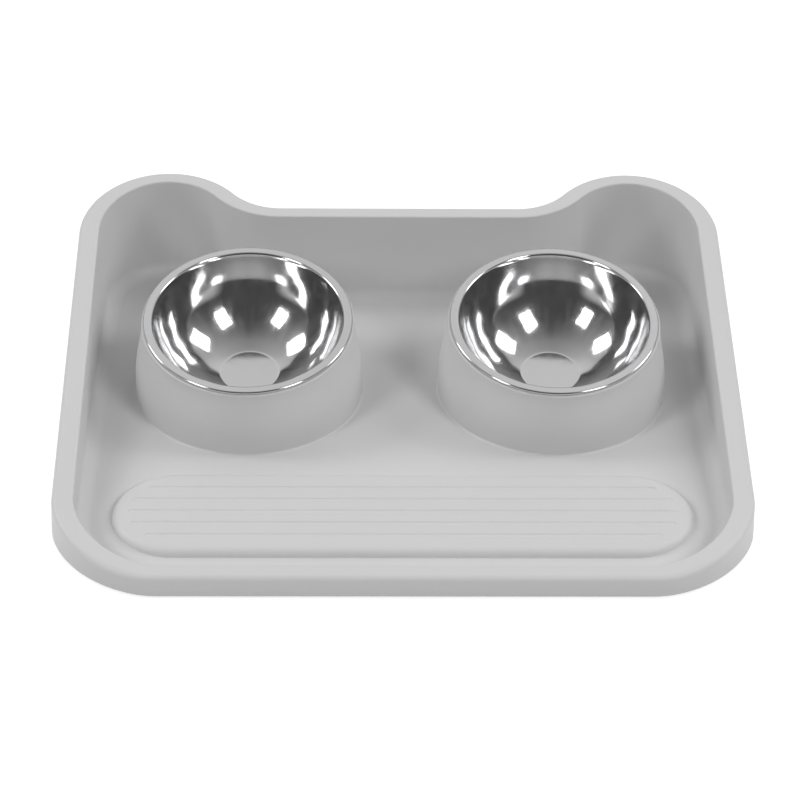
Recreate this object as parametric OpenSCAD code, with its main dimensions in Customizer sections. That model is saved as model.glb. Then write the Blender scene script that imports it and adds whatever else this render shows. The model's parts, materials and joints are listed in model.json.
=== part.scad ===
// Double pet bowl: two steel bowls that drop into the pedestals of one moulded tray.
// The tray's rim slopes down to the front, and the bowls lean forward with it.
// Origin: centre of the outline, on the surface that the feet stand on. +Z up, +Y to the rear.

/* [Rim] */
// Height of the rim at its front edge, above the ground
rim_front_h = 14.4; // [12:0.1:20]
// Slope of the rim and of the bowls, down to the front, in degrees
rim_tilt = 10; // [9:0.5:12]
// Width of the rim along the two sides
rim_side_w = 13; // [11:0.5:18]
// Width of the rim along the front
rim_front_w = 11; // [9:0.5:16]
// Width of the rim along the rear
rim_rear_w = 10; // [9:0.5:16]
// Radius of the rim's outer edge
rim_edge_r = 3.4; // [1:0.1:5]
// Radius of the rim's inner edge
rim_inner_r = 1; // [0.4:0.1:2]

/* [Tray] */
// Thickness of the moulded wall
wall_t = 2.5; // [1.8:0.1:3.2]
// Draft of the well's walls, in degrees
wall_draft = 2.5; // [1:0.5:4]
// Radius where the walls meet the floor
wall_foot_r = 8.5; // [5:0.1:9]
// Height of the well's floor above the ground
floor_h = 5.5; // [4.5:0.1:7]
// Height of the skirt's lower edge above the ground
skirt_gap = 1.9; // [0.5:0.1:2.5]
// How far the skirt's lower edge stands out beyond the rim
skirt_flare = 0.8; // [0.2:0.1:2]
// Radius of the front corners where they leave the sides and the front
corner_r = 50; // [40:1:60]
// Radius of the flatter middle of a front corner
corner_mid_r = 74; // [62:1:85]
// How far a front corner turns before its flatter middle begins, in degrees
corner_turn = 20; // [10:1:30]
// Radius of the two rear lobes
lobe_r = 56.2; // [48:0.1:60]
// How far the lobes stand behind the straight rear edge
lobe_rise = 33.2; // [24:0.1:40]
// Radius of the hollow curve between a lobe and the rear edge
lobe_blend_r = 42; // [30:1:50]

/* [Pedestals] */
// Distance between the two pedestal axes
pedestal_spacing = 190.2; // [180:0.1:210]
// How much wider a pedestal is at the floor than at its lip, to each side
pedestal_flare = 5.4; // [3:0.1:9]
// How far the lip reaches out beyond the bowl's flange
lip_ledge = 1; // [0.5:0.1:3]
// How far the lip stands proud of the side under it
lip_proud = 0.3; // [0.2:0.1:0.6]
// Radius of the small fillet round a pedestal's foot
pedestal_foot_r = 1.2; // [0.5:0.1:2]
// Height of the bowl's lowest point above the ground
bowl_ground_gap = 8.1; // [4:0.1:14]
// From a pedestal to the inner edge of the side rim
pedestal_side_gap = 27; // [24:0.1:40]
// From a pedestal to the inner edge of the straight rear rim
pedestal_rear_gap = 31.9; // [24:0.1:45]

/* [Bowls] */
// Outer radius of the flange
flange_r = 65; // [64.5:0.1:65.5]
// Thickness of the steel
steel_t = 0.8; // [0.6:0.1:1]
// Radius of the rolled edge of the flange
bead_r = 1.1; // [1.1:0.05:1.3]
// Height of the flange above its seat
flange_h = 2.1; // [1.9:0.1:2.1]
// Radius where the flange turns down into the cup
flange_bend_r = 1.5; // [1.2:0.1:2.5]
// Width of the flat band between the bend and the rolled edge
band_w = 3.4; // [2:0.1:5]
// Radius of the cup's flat base
cup_flat_r = 17.6; // [12:0.1:24]
// Radius between the cup and its flat base
cup_base_r = 5; // [3:0.5:12]
// Height of the sphere's centre above the seat
cup_centre_h = 12.2; // [11:0.1:14]
// Play between the cup and the opening in the pedestal
cup_clearance = 0.6; // [0.4:0.1:1]

/* [Pad] */
// Depth of the oblong pad, front to rear
pad_d = 75.4; // [66:0.1:84]
// Height of the pad above the floor
pad_h = 5; // [4:0.1:6]
// Radius of the pad's upper edge
pad_edge_r = 4.9; // [2:0.1:4.9]
// From the pad's end to the inner edge of the side rim
pad_side_gap = 21.3; // [16:0.1:30]
// From the pad to the inner edge of the front rim
pad_front_gap = 19.1; // [16:0.1:30]
// From the pad to the pedestals behind it
pad_rear_gap = 23.6; // [14:0.1:34]
// Number of grooves in the pad
groove_count = 5; // [1:2:5]
// Distance from groove to groove
groove_pitch = 11.2; // [9:0.1:12]
// Width of a groove
groove_w = 2.7; // [1.6:0.1:4]
// Depth of a groove
groove_depth = 0.65; // [0.3:0.05:1]
// From the grooves' ends to the pad's outline
groove_margin = 9.5; // [7:0.1:12]

/* [Feet] */
// Diameter of a rubber foot
foot_d = 9; // [7:0.5:11]
// Depth of the recess that holds a foot
foot_recess = 0.6; // [0.4:0.1:1]
// Play round a foot in its recess
foot_clearance = 0.1; // [0.05:0.05:0.3]
// Radius of a foot's lower edge
foot_edge_r = 0.8; // [0.3:0.1:1.2]
// From the pad's outline to a front foot
foot_pad_gap = 0.6; // [0.5:0.1:2]
// From the curve at the foot of a lobe's wall to a rear foot
foot_wall_gap = 22; // [4:0.5:30]

/* [Hidden] */
$fn = 96;
overrun = 1;
plastic = [0.8, 0.8, 0.8];
steel = [0.75, 0.76, 0.77];
rubber = [0.16, 0.16, 0.17];

// Angle from point to point on the curves of the outline
outline_step = 8;
// Angle at which the curve at the foot of the wall runs into the floor
foot_last = 75;
// How far under the curve the flat floor begins, as a share of the curve's radius
plate_reach_share = 0.72;
// Points round a pedestal, and round its hollow
pedestal_points = 48;
hollow_points = 36;
// Heights of the sections of a pedestal and of its hollow, as shares of the height
pedestal_height_shares = [0.25, 0.45, 0.65, 0.85, 1];
hollow_height_shares = [0, 0.5, 0.8, 1];
// Direction of a foot from the centre of its curve, in degrees from the side
foot_angle = 30;

// A pedestal is as wide as its bowl asks
pedestal_top_r = flange_r + lip_ledge;
pedestal_base_r = pedestal_top_r + pedestal_flare;

// The outline's size follows from what stands in the tray, side by side and one behind the other
tray_w = pedestal_spacing + 2 * (pedestal_base_r + pedestal_side_gap + rim_side_w);
tray_d = rim_front_w + pad_front_gap + pad_d + pad_rear_gap + 2 * pedestal_base_r + pedestal_rear_gap
    + rim_rear_w + lobe_rise;
side_x = tray_w / 2;
front_y = -tray_d / 2;
rear_y = tray_d / 2 - lobe_rise;
pedestal_x = pedestal_spacing / 2;
pedestal_y = rear_y - rim_rear_w - pedestal_rear_gap - pedestal_base_r;
pad_y = front_y + rim_front_w + pad_front_gap + pad_d / 2;
pad_end_x = side_x - rim_side_w - pad_side_gap - pad_d / 2;
pad_top = floor_h + pad_h;
floor_under = floor_h - wall_t;

// Centres of the curves of the right half of the outline
corner_dr = corner_mid_r - corner_r;
corner_reach = corner_dr * (cos(corner_turn) - sin(corner_turn));
corner_front_c = [side_x - corner_r - corner_reach, front_y + corner_r];
corner_side_c = [side_x - corner_r, front_y + corner_r + corner_reach];
corner_mid_c = corner_side_c + corner_dr * [-cos(corner_turn), sin(corner_turn)];
lobe_c = [side_x - lobe_r, tray_d / 2 - lobe_r];
blend_y = rear_y + lobe_blend_r;
blend_x = lobe_c.x - sqrt(pow(lobe_r + lobe_blend_r, 2) - pow(blend_y - lobe_c.y, 2));
lobe_end = atan2(blend_y - lobe_c.y, blend_x - lobe_c.x);

// Height of the rim's plane
function rim_z(y) = rim_front_h + (y - front_y) * tan(rim_tilt);

// The cup is a sphere whose centre lies above the seat, and which runs into the bend of the flange
bead_x = flange_r - bead_r;
bend_x = bead_x - band_w;
bend_z = flange_h - flange_bend_r;
cup_r = sqrt(pow(bend_x, 2) + pow(cup_centre_h - bend_z, 2)) - flange_bend_r;
cup_depth = sqrt(pow(cup_r - cup_base_r, 2) - pow(cup_flat_r, 2)) + cup_base_r - cup_centre_h;

// The seats are parallel to the rim, and hold the bowls clear of the ground
seat_z = (cup_depth + steel_t) * cos(rim_tilt) + cup_flat_r * sin(rim_tilt) + bowl_ground_gap;
seat_r = sqrt(pow(cup_r + steel_t, 2) - pow(cup_centre_h, 2)) + cup_clearance;

// An arc as points with their outward direction, which is inward on a hollow curve
function arc(c, r, from, to, side) =
    let (n = max(2, ceil(abs(to - from) / outline_step)))
    [for (i = [0 : n]) let (a = from + (to - from) * i / n)
        [c.x + r * cos(a), c.y + r * sin(a), side * cos(a), side * sin(a)]];
function tail(points) = [for (i = [1 : len(points) - 1]) points[i]];
function mirrored(points) = [for (i = [len(points) - 1 : -1 : 0]) let (p = points[i])
    [-p[0], p[1], -p[2], p[3]]];

right_half = concat(
    arc(corner_front_c, corner_r, -90, corner_turn - 90, 1),
    tail(arc(corner_mid_c, corner_mid_r, corner_turn - 90, -corner_turn, 1)),
    tail(arc(corner_side_c, corner_r, -corner_turn, 0, 1)),
    arc(lobe_c, lobe_r, 0, 90, 1),
    tail(arc(lobe_c, lobe_r, 90, lobe_end, 1)),
    tail(arc([blend_x, blend_y], lobe_blend_r, lobe_end - 180, -90, -1))
);
outline = concat(right_half, mirrored(right_half));

// A point of the outline moved in: by a share of the rim's width, and by a length
function inset(p, share, length) = let (rim_w = p[3] < 0 ? rim_front_w : rim_rear_w)
    [p[0] - (share * rim_side_w + length) * p[2], p[1] - (share * rim_w + length) * p[3]];
function level_ring(share, length, z) =
    [for (p = outline) let (q = inset(p, share, length)) [q.x, q.y, z]];
function rim_ring(share, length, drop) =
    [for (p = outline) let (q = inset(p, share, length)) [q.x, q.y, rim_z(q.y) - drop]];
function wall_ring(length, z) =
    [for (p = outline) let (top = inset(p, 1, 0),
        q = inset(p, 1, length + (rim_z(top.y) - z) * tan(wall_draft))) [q.x, q.y, z]];

// Triangles between rings of n points, each ring joined to the next
function band_faces(n, rings, closed) = let (last = closed ? rings - 1 : rings - 2)
    [for (j = [0 : last], i = [0 : n - 1], upper = [0, 1])
        let (next = (j + 1) % rings, a = j * n + i, b = j * n + (i + 1) % n,
            c = next * n + i, d = next * n + (i + 1) % n)
        upper == 0 ? [a, d, b] : [a, c, d]];
function first_cap(n) = [for (i = [0 : n - 1]) i];
function last_cap(n, rings) = [for (i = [n - 1 : -1 : 0]) (rings - 1) * n + i];
function flat(lists) = [for (list = lists) each list];

// A solid through rings of points: capped at both ends, or closed on itself like a tyre
module loft(rings, closed = false) {
    n = len(rings[0]);
    caps = closed ? [] : [first_cap(n), last_cap(n, len(rings))];
    polyhedron(flat(rings), concat(band_faces(n, len(rings), closed), caps));
}

// Skirt, rim, drafted wall and the curve at its foot, as one closed section led round the outline
module rim_and_wall() {
    in_floor = floor_h - wall_t / 2;
    foot_in = wall_foot_r * cos(wall_draft);
    foot_end = foot_in + wall_foot_r * cos(foot_last);
    foot_angles = [for (i = [0 : 2]) wall_draft + (foot_last - wall_draft) * i / 2];
    outer_foot_r = wall_foot_r + wall_t;
    under_rings = [
        wall_ring(foot_end, in_floor),
        for (i = [2 : -1 : 0]) wall_ring(foot_in - outer_foot_r * cos(foot_angles[i]),
            floor_under + outer_foot_r * (1 - sin(foot_angles[i]))),
        rim_ring(1, -wall_t, wall_t),
        rim_ring(0, wall_t, wall_t),
        level_ring(0, wall_t - skirt_flare, skirt_gap),
        level_ring(0, -skirt_flare, skirt_gap)
    ];
    edge_rings = [for (a = [0 : 30 : 90])
        rim_ring(0, rim_edge_r * (1 - cos(a)), rim_edge_r * (1 - sin(a)))];
    inner_rings = [for (a = [0 : 45 : 90])
        rim_ring(1, rim_inner_r * (sin(a) - 1), rim_inner_r * (1 - cos(a)))];
    foot_rings = [for (a = foot_angles)
        wall_ring(foot_in - wall_foot_r * cos(a), floor_h + wall_foot_r * (1 - sin(a)))];
    run_in = wall_ring(foot_end, floor_h - wall_foot_r * (1 - sin(foot_last)));
    loft(concat(under_rings, edge_rings, inner_rings, foot_rings, [run_in]), closed = true);
}

// The points halfway between those of a ring, seen from above
function between(ring) = [for (i = [0 : len(ring) - 1])
    let (p = (ring[i] + ring[(i + 1) % len(ring)]) / 2) [p.x, p.y]];

// The flat floor, open under the pedestals and the pad, which have their own walls
module floor_plate() {
    translate([0, 0, floor_under]) linear_extrude(wall_t) difference() {
        polygon(between(wall_ring(wall_foot_r * plate_reach_share, floor_under)));
        at_pedestals() circle(pedestal_base_r - wall_t / 2);
        translate([0, pad_y]) oblong(pad_end_x, (pad_d - wall_t) / 2);
    }
}

// How far a pedestal has drawn in from its base to its lip, as a share, at a share of its height
function pedestal_lean(share) = (1 - cos(180 * pow(share, 1.5))) / 2;
function round_ring(n, r, z) = [for (i = [0 : n - 1]) let (a = 360 * i / n) [r * cos(a), r * sin(a), z]];
function leaning_ring(n, base_r, top_r, drop, share) = let (lean = pedestal_lean(share))
    [for (p = round_ring(n, 1, 0)) let (lip_z = seat_z - drop + top_r * p.y * sin(rim_tilt))
        [(base_r * (1 - lean) + top_r * lean) * p.x,
            (base_r * (1 - lean) + top_r * cos(rim_tilt) * lean) * p.y,
            floor_h + (lip_z - floor_h) * share]];

// A hollow foot from a round base on the floor to a lip that leans with the rim
module pedestal() {
    foot_rings = [for (a = [0 : 45 : 90]) round_ring(pedestal_points,
        pedestal_base_r + pedestal_foot_r * (1 - sin(a)), floor_h + pedestal_foot_r * (1 - cos(a)))];
    side_rings = [for (share = pedestal_height_shares)
        leaning_ring(pedestal_points, pedestal_base_r, pedestal_top_r - lip_proud, wall_t / 2, share)];
    hollow_rings = [for (share = hollow_height_shares)
        leaning_ring(hollow_points, pedestal_base_r - wall_t, pedestal_top_r - lip_proud - wall_t, 0, share)];
    difference() {
        loft(concat([round_ring(pedestal_points, pedestal_base_r + pedestal_foot_r, floor_h - wall_t / 2)],
            foot_rings, side_rings));
        loft(concat([round_ring(hollow_points, pedestal_base_r - wall_t, floor_under - overrun)],
            hollow_rings));
    }
    on_seat() rotate_extrude() translate([seat_r, -wall_t]) square([pedestal_top_r - seat_r, wall_t]);
}

module at_pedestals() {
    for (side = [-1, 1]) {
        translate([side * pedestal_x, pedestal_y, 0]) children();
    }
}

// Places its children on the seat of a pedestal, with +Z square to the seat
module on_seat() {
    translate([0, 0, seat_z]) rotate([rim_tilt, 0, 0]) children();
}

module oblong(half_l, r) {
    square([2 * half_l, 2 * r], center = true);
    for (side = [-1, 1]) {
        translate([side * half_l, 0]) circle(r);
    }
}

// Half of the pad's section, from its middle to its rounded edge
module pad_section() {
    r = pad_d / 2;
    intersection() {
        union() {
            translate([0, floor_under]) square([r, pad_h + wall_t - pad_edge_r]);
            translate([0, floor_under]) square([r - pad_edge_r, pad_h + wall_t]);
            translate([r - pad_edge_r, pad_top - pad_edge_r]) circle(pad_edge_r);
        }
        translate([0, floor_under]) square([r, pad_h + wall_t]);
    }
}

// Rounded grooves with round ends, which follow the pad's outline
module grooves() {
    groove_r = (pow(groove_w / 2, 2) + pow(groove_depth, 2)) / (2 * groove_depth);
    end_r = pad_d / 2 - groove_margin;
    middle = (groove_count - 1) / 2;
    for (i = [-middle : middle]) {
        reach = pad_end_x + sqrt(pow(end_r, 2) - pow(i * groove_pitch, 2)) - groove_w / 2;
        translate([0, i * groove_pitch, pad_top - groove_depth + groove_r]) {
            rotate([0, 90, 0]) cylinder(h = 2 * reach, r = groove_r, center = true);
            for (side = [-1, 1]) {
                translate([side * reach, 0, 0]) sphere(groove_r);
            }
        }
    }
}

// A raised oblong with a rounded edge, open underneath like the rest of the moulding
module pad() {
    translate([0, pad_y, 0]) difference() {
        union() {
            for (side = [-1, 1]) {
                translate([side * pad_end_x, 0, 0]) rotate_extrude() pad_section();
            }
            rotate([90, 0, 90]) linear_extrude(2 * pad_end_x, center = true) {
                pad_section();
                mirror([1, 0]) pad_section();
            }
        }
        translate([0, 0, floor_under - overrun])
            linear_extrude(pad_h + overrun) oblong(pad_end_x, pad_d / 2 - wall_t);
        grooves();
    }
}

// Places its children under the floor: in front between pad and wall, and behind in a lobe
module at_foot(side, rear) {
    rear_reach = lobe_r - rim_rear_w - wall_foot_r - foot_wall_gap - foot_d / 2;
    c = rear ? lobe_c : [pad_end_x, pad_y];
    reach = rear ? rear_reach : pad_d / 2 + foot_pad_gap + foot_d / 2;
    translate([side * (c.x + reach * cos(foot_angle)), c.y + (rear ? 1 : -1) * reach * sin(foot_angle), 0])
        children();
}

module tray() {
    color(plastic) {
        difference() {
            union() {
                rim_and_wall();
                floor_plate();
            }
            for (side = [-1, 1], rear = [false, true]) {
                at_foot(side, rear)
                    cylinder(h = floor_under + foot_recess, d = foot_d + 2 * foot_clearance);
            }
        }
        at_pedestals() pedestal();
        pad();
    }
}

// A ring of the bowl's steel round a point of its section
module steel_ring(x, z, r) {
    translate([x, z]) difference() {
        circle(r + steel_t);
        circle(r);
    }
}

module window(x_from, x_to, z_from, z_to) {
    polygon([[x_from, z_from], [x_to, z_from], [x_to, z_to], [x_from, z_to]]);
}

// Section of the pressed steel: flat base, base curve, spherical cup, bend, flange and rolled edge
module bowl_section() {
    base_z = -cup_depth;
    under_z = base_z - steel_t;
    base_c = base_z + cup_base_r;
    cup_x = cup_flat_r * cup_r / (cup_r - cup_base_r);
    cup_z = cup_centre_h - (cup_centre_h - bend_z) * cup_r / (cup_r + flange_bend_r);
    window(0, cup_flat_r, under_z, base_z);
    intersection() {
        steel_ring(cup_flat_r, base_c, cup_base_r);
        window(cup_flat_r, cup_x, under_z, base_c);
    }
    intersection() {
        steel_ring(0, cup_centre_h, cup_r);
        window(cup_x, flange_r, under_z, cup_z);
    }
    intersection() {
        steel_ring(bend_x, bend_z, flange_bend_r - steel_t);
        window(bend_x - flange_bend_r, bend_x, cup_z, flange_h);
    }
    window(bend_x, bead_x, flange_h - steel_t, flange_h);
    intersection() {
        translate([bead_x, flange_h - bead_r]) circle(bead_r);
        window(bead_x - bead_r, flange_r, 0, flange_h + bead_r);
    }
}

module bowl(side) {
    color(steel)
    translate([side * pedestal_x, pedestal_y, 0]) on_seat() rotate_extrude() bowl_section();
}

module left_bowl() {
    bowl(-1);
}

module right_bowl() {
    bowl(1);
}

// A round pad of rubber with a rounded lower edge, seated in its recess
module foot(side, rear) {
    foot_h = floor_under + foot_recess;
    color(rubber)
    at_foot(side, rear) rotate_extrude() {
        translate([0, foot_edge_r]) square([foot_d / 2, foot_h - foot_edge_r]);
        square([foot_d / 2 - foot_edge_r, foot_edge_r]);
        intersection() {
            translate([foot_d / 2 - foot_edge_r, foot_edge_r]) circle(foot_edge_r);
            square([foot_d / 2, foot_edge_r]);
        }
    }
}

module foot_front_left() {
    foot(-1, false);
}

module foot_front_right() {
    foot(1, false);
}

module foot_rear_left() {
    foot(-1, true);
}

module foot_rear_right() {
    foot(1, true);
}

tray();
left_bowl();
right_bowl();
foot_front_left();
foot_front_right();
foot_rear_left();
foot_rear_right();
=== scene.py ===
"""Double pet bowl: a moulded light grey tray, two lift-out steel bowls and four rubber feet.

Everything is in metres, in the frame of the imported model: the origin is on the ground under the
middle of the tray, +X points to the right, +Y to the rear lobes and +Z up.
"""
import json
from math import asin, atan2, ceil, cos, degrees, pi, radians, sin, sqrt, tan

import bmesh
import bpy
from bpy.props import FloatProperty, FloatVectorProperty, IntProperty, PointerProperty
from bpy.types import Operator, Panel, PropertyGroup
from mathutils import Matrix, Vector


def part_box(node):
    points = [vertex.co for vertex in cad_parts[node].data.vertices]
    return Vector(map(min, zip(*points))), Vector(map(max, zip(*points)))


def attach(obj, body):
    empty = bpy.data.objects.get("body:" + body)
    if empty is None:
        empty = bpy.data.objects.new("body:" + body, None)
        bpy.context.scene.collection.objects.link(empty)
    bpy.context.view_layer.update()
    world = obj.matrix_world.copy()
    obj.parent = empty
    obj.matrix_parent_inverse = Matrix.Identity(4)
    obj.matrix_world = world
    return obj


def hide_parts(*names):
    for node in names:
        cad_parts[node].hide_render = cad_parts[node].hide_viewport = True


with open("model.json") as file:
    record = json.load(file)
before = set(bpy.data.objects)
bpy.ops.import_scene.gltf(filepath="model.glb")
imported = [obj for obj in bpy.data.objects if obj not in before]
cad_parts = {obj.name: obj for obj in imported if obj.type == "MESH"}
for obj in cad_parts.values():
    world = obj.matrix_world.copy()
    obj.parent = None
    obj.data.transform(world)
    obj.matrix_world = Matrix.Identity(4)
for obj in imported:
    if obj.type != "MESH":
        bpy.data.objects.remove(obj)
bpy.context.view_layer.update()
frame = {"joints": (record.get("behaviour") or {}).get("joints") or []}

bl_info = {
    "name": "Double pet bowl",
    "version": (1, 0, 0),
    "blender": (4, 5, 0),
    "location": "3D View > Sidebar > Feeder",
    "description": "Builds a moulded tray with two steel bowls and its studio",
    "category": "Object",
}

TRAY_LOW, TRAY_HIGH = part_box("tray")
BOWL_LOW, BOWL_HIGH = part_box("right_bowl")
BOWL_AXIS = Vector(frame["joints"][0]["axis"])
TILT = atan2(-BOWL_AXIS.y, BOWL_AXIS.z)
BOWL_X = (BOWL_LOW.x + BOWL_HIGH.x) / 2

# Steps of the curves, which say how fine the meshes are
OUTLINE_STEP = radians(2.5)
PEDESTAL_POINTS = 144
PEDESTAL_SIDE_RINGS = 20
PAD_END_STEPS = 72
GROOVE_END_STEPS = 8
RECESS_POINTS = 48
BOWL_STEPS = 256
CUP_STEPS = 40
FOOT_STEPS = 64
SHARP_ANGLE = radians(35)
# A ring laid this close to a curve keeps the flat face beside it flat in its shading
SUPPORT = 0.0004
# Points of a spun section nearer than this are one point
WELD_DISTANCE = 1e-7

# Small roundings that the sizes below don't list
SKIRT_EDGE = 0.0004
BORE_EDGE = 0.0004
GROOVE_EDGE = 0.00025
PAD_HOLLOW_CORNER = 0.001
FOOT_UPPER_EDGE = 0.0002
# The hollow in a foot's sole: its depth, and its outer and inner reach as shares of the foot's radius
SOLE_DEPTH = 0.0003
SOLE_OUTER = 0.62
SOLE_INNER = 0.56
# Share of a pedestal's height at which the rings of its side start, above the fillet at its foot
PEDESTAL_SIDE_START = 0.05
# The larger these are, the higher up a pedestal starts to lean and the nearer the cup's waist is to
# its flange
LEAN_POWER = 1.5
WAIST_POWER = 3


# Sizes and colours

def length(name, description, default):
    return FloatProperty(name=name, description=description, default=default, min=0.0, unit="LENGTH")


class TraySizes(PropertyGroup):
    """Sizes of the moulded tray"""
    rim_front_height: length("Rim height", "Height of the rim at its front edge", 0.0144)
    rim_side_width: length("Side rim", "Width of the rim along the two sides", 0.013)
    rim_front_width: length("Front rim", "Width of the rim along the front", 0.011)
    rim_rear_width: length("Rear rim", "Width of the rim along the rear", 0.010)
    rim_edge_radius: length("Rim edge", "Radius of the rim's outer edge", 0.0034)
    rim_inner_radius: length("Inner edge", "Radius of the rim's inner edge", 0.001)
    corner_radius: length("Front corners", "Radius of a front corner where it leaves side and front", 0.05)
    corner_mid_radius: length("Corner middle", "Radius of the flatter middle of a front corner", 0.074)
    corner_turn: FloatProperty(
        name="Corner turn", description="How far a front corner turns before its flatter middle",
        default=radians(20), min=0.0, max=radians(40), unit="ROTATION")
    lobe_radius: length("Lobes", "Radius of the two rear lobes", 0.0562)
    lobe_rise: length("Lobe rise", "How far the lobes stand behind the rear edge", 0.0332)
    blend_radius: length("Lobe blend", "Radius of the hollow between lobe and rear edge", 0.042)
    wall: length("Wall", "Thickness of the moulded wall", 0.0025)
    wall_draft: FloatProperty(
        name="Draft", description="Draft of the well's walls", default=radians(2.5),
        min=0.0, max=radians(10), unit="ROTATION")
    wall_foot_radius: length("Wall foot", "Radius where the walls meet the floor", 0.0085)
    floor_height: length("Floor", "Height of the well's floor above the ground", 0.0055)
    skirt_gap: length("Skirt gap", "Height of the skirt's lower edge", 0.0019)
    skirt_flare: length("Skirt flare", "How far the skirt's lower edge stands out beyond the rim", 0.0008)
    pedestal_y: length("Pedestal place", "Distance of the pedestals behind the middle", 0.027)
    pedestal_base_radius: length("Pedestal base", "Radius of a pedestal at the floor", 0.0714)
    pedestal_top_radius: length("Pedestal lip", "Radius of a pedestal at its lip", 0.066)
    pedestal_foot_radius: length("Pedestal foot", "Fillet round a pedestal's foot", 0.0012)
    pedestal_lip_radius: length("Lip edge", "Radius of the lip's outer edge", 0.0008)
    seat_height: length("Seat height", "Height of the middle of a seat", 0.056276)
    pad_depth: length("Pad depth", "Depth of the oblong pad, front to rear", 0.0754)
    pad_front_gap: length("Pad gap", "From the pad to the inner edge of the front rim", 0.0191)
    pad_side_gap: length("Pad side gap", "From the pad's end to the inner edge of the side rim", 0.0213)
    pad_height: length("Pad height", "Height of the pad above the floor", 0.005)
    pad_edge_radius: length("Pad edge", "Radius of the pad's upper edge", 0.0047)
    pad_foot_radius: length("Pad foot", "Fillet round the pad's foot", 0.0003)
    groove_count: IntProperty(
        name="Grooves", description="Number of grooves in the pad", default=5, min=1, max=5)
    groove_pitch: length("Groove pitch", "Distance from groove to groove", 0.0112)
    groove_width: length("Groove width", "Width of a groove", 0.0027)
    groove_depth: length("Groove depth", "Depth of a groove", 0.00065)
    groove_margin: length("Groove margin", "From the grooves' ends to the pad's outline", 0.0095)


class BowlSizes(PropertyGroup):
    """Sizes of a steel bowl"""
    flange_radius: length("Flange", "Outer radius of the flange", 0.065)
    flange_height: length("Flange height", "Height of the flange above its seat", 0.0021)
    bead_radius: length("Rolled edge", "Radius of the flange's rolled edge", 0.0011)
    bend_radius: length("Bend", "Radius where the flange turns down into the cup", 0.0015)
    steel: length("Steel", "Thickness of the steel", 0.0008)
    cup_radius: length("Cup", "Radius of the spherical cup", 0.060102)
    cup_depth: length("Depth", "Depth of the cup below its seat", 0.0450156)
    cup_base_radius: length("Base curve", "Radius between the cup and its flat base", 0.005)
    cup_centre_height: length("Sphere centre", "Height of the sphere's centre above the seat", 0.0122)
    waist: length("Waist", "How far the cup's wall is drawn in just below the flange", 0.00025)
    clearance: length("Clearance", "Play between the cup and its opening", 0.0006)


class FootSizes(PropertyGroup):
    """Sizes and places of the rubber feet"""
    diameter: length("Diameter", "Diameter of a rubber foot", 0.009)
    edge_radius: length("Edge", "Radius of a foot's lower edge", 0.0008)
    recess: length("Recess", "Depth of the recess that holds a foot", 0.0006)
    clearance: length("Clearance", "Play round a foot in its recess", 0.0001)
    pad_gap: length("Pad gap", "From the pad's outline to a front foot", 0.0006)
    rear_reach: length("Rear reach", "From a rear lobe's centre to its foot", 0.0112)
    direction: FloatProperty(
        name="Direction", description="Direction of a foot from the centre of its curve, from the side",
        default=radians(30), min=0.0, max=radians(90), unit="ROTATION")


def colour(name, description, default):
    return FloatVectorProperty(
        name=name, description=description, default=default, size=3, min=0.0, max=1.0, subtype="COLOR")


class Finishes(PropertyGroup):
    """Colours and grain of the three materials"""
    plastic: colour("Plastic", "Colour of the moulded tray", (0.615, 0.615, 0.615))
    steel: colour("Steel", "Colour of the polished steel", (0.63, 0.63, 0.635))
    rubber: colour("Rubber", "Colour of the feet", (0.030, 0.030, 0.031))
    grain: length("Grain", "Size of the moulded plastic's grain", 0.0006)


class Studio(PropertyGroup):
    """Light of the studio round the object"""
    floor: FloatProperty(
        name="Floor", description="Brightness of the pale floor", default=0.75,
        min=0.0, max=1.0, subtype="FACTOR")
    box_radiance: FloatProperty(
        name="Softboxes", description="Brightness of the four softboxes", default=8.8, min=0.0)
    box_distance: length("Softbox distance", "Distance of the softboxes", 3.5)
    panel_light: FloatProperty(
        name="Panel", description="Brightness of the pale panel above and behind", default=0.86, min=0.0)
    side_light: FloatProperty(
        name="Sides", description="Brightness of the pale sides near the floor", default=0.75, min=0.0)


# Curves of the moulding

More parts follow.
